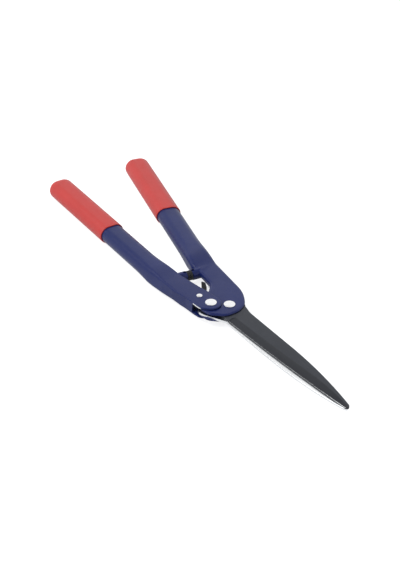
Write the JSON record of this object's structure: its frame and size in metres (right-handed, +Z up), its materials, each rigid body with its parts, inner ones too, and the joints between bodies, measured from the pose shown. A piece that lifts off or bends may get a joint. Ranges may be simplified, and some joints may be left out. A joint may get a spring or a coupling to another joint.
{
  "type": "compound action hedge shears",
  "caption": "Hand hedge shears with two long blades, pressed steel handles with vinyl grips, and a pin-and-slot drive between the left handle and the upper blade.",
  "frame": {"origin": "on the handle pivot's axis, at the lower end of its bolt and nut, on the surface that the closed shears lie on", "axes": "+X forwards to the blade tips, +Y from the left handle to the right handle, +Z up along both pivots"},
  "size_m": [0.5632, 0.1473, 0.0228],
  "materials": {
    "blue_paint": "smooth dark blue powder coat",
    "red_vinyl": "matte red dipped vinyl",
    "black_plastic": "moulded black plastic",
    "dark_blade": "satin dark grey low-friction coating",
    "bright_blade": "bright ground steel",
    "plated_steel": "bright plated steel",
    "nylon": "natural nylon",
    "buffer_rubber": "black rubber"
  },
  "bodies": {
    "right side": {"right_handle": "blue_paint", "right_grip": "red_vinyl", "right_tube_plug": "black_plastic", "lower_blade": "bright_blade", "blade_pivot_bolt": "plated_steel", "blade_pivot_nut": "plated_steel", "blade_pivot_nut_washer": "plated_steel", "blade_thrust_washer": "nylon", "handle_pivot_bolt": "plated_steel", "handle_pivot_nut": "plated_steel", "handle_pivot_nut_washer": "plated_steel", "handle_side_washers": "nylon", "handle_pivot_collar": "plated_steel", "right_buffer": "buffer_rubber", "right_buffer_pin": "plated_steel"},
    "left side": {"left_handle": "blue_paint", "left_grip": "red_vinyl", "left_tube_plug": "black_plastic", "drive_pin": "plated_steel", "drive_sleeve": "plated_steel", "drive_spacers": "plated_steel", "left_buffer": "buffer_rubber", "left_buffer_pin": "plated_steel"},
    "upper blade": {"upper_blade": "dark_blade"}
  },
  "joints": [
    {"name": "handle_hinge", "type": "hinge", "parent": "right side", "child": "left side", "pos_m": [0, 0, 0.0114], "axis": [0, 0, 1], "range_deg": [0, 65]},
    {"name": "blade_hinge", "type": "hinge", "parent": "right side", "child": "upper blade", "pos_m": [0.012, 0.017, 0.0139], "axis": [0, 0, 1], "range_deg": [0, 31]}
  ],
  "couplings": [
    {"joint": "blade_hinge", "follows": "handle_hinge", "ratio": 0.4703}
  ]
}
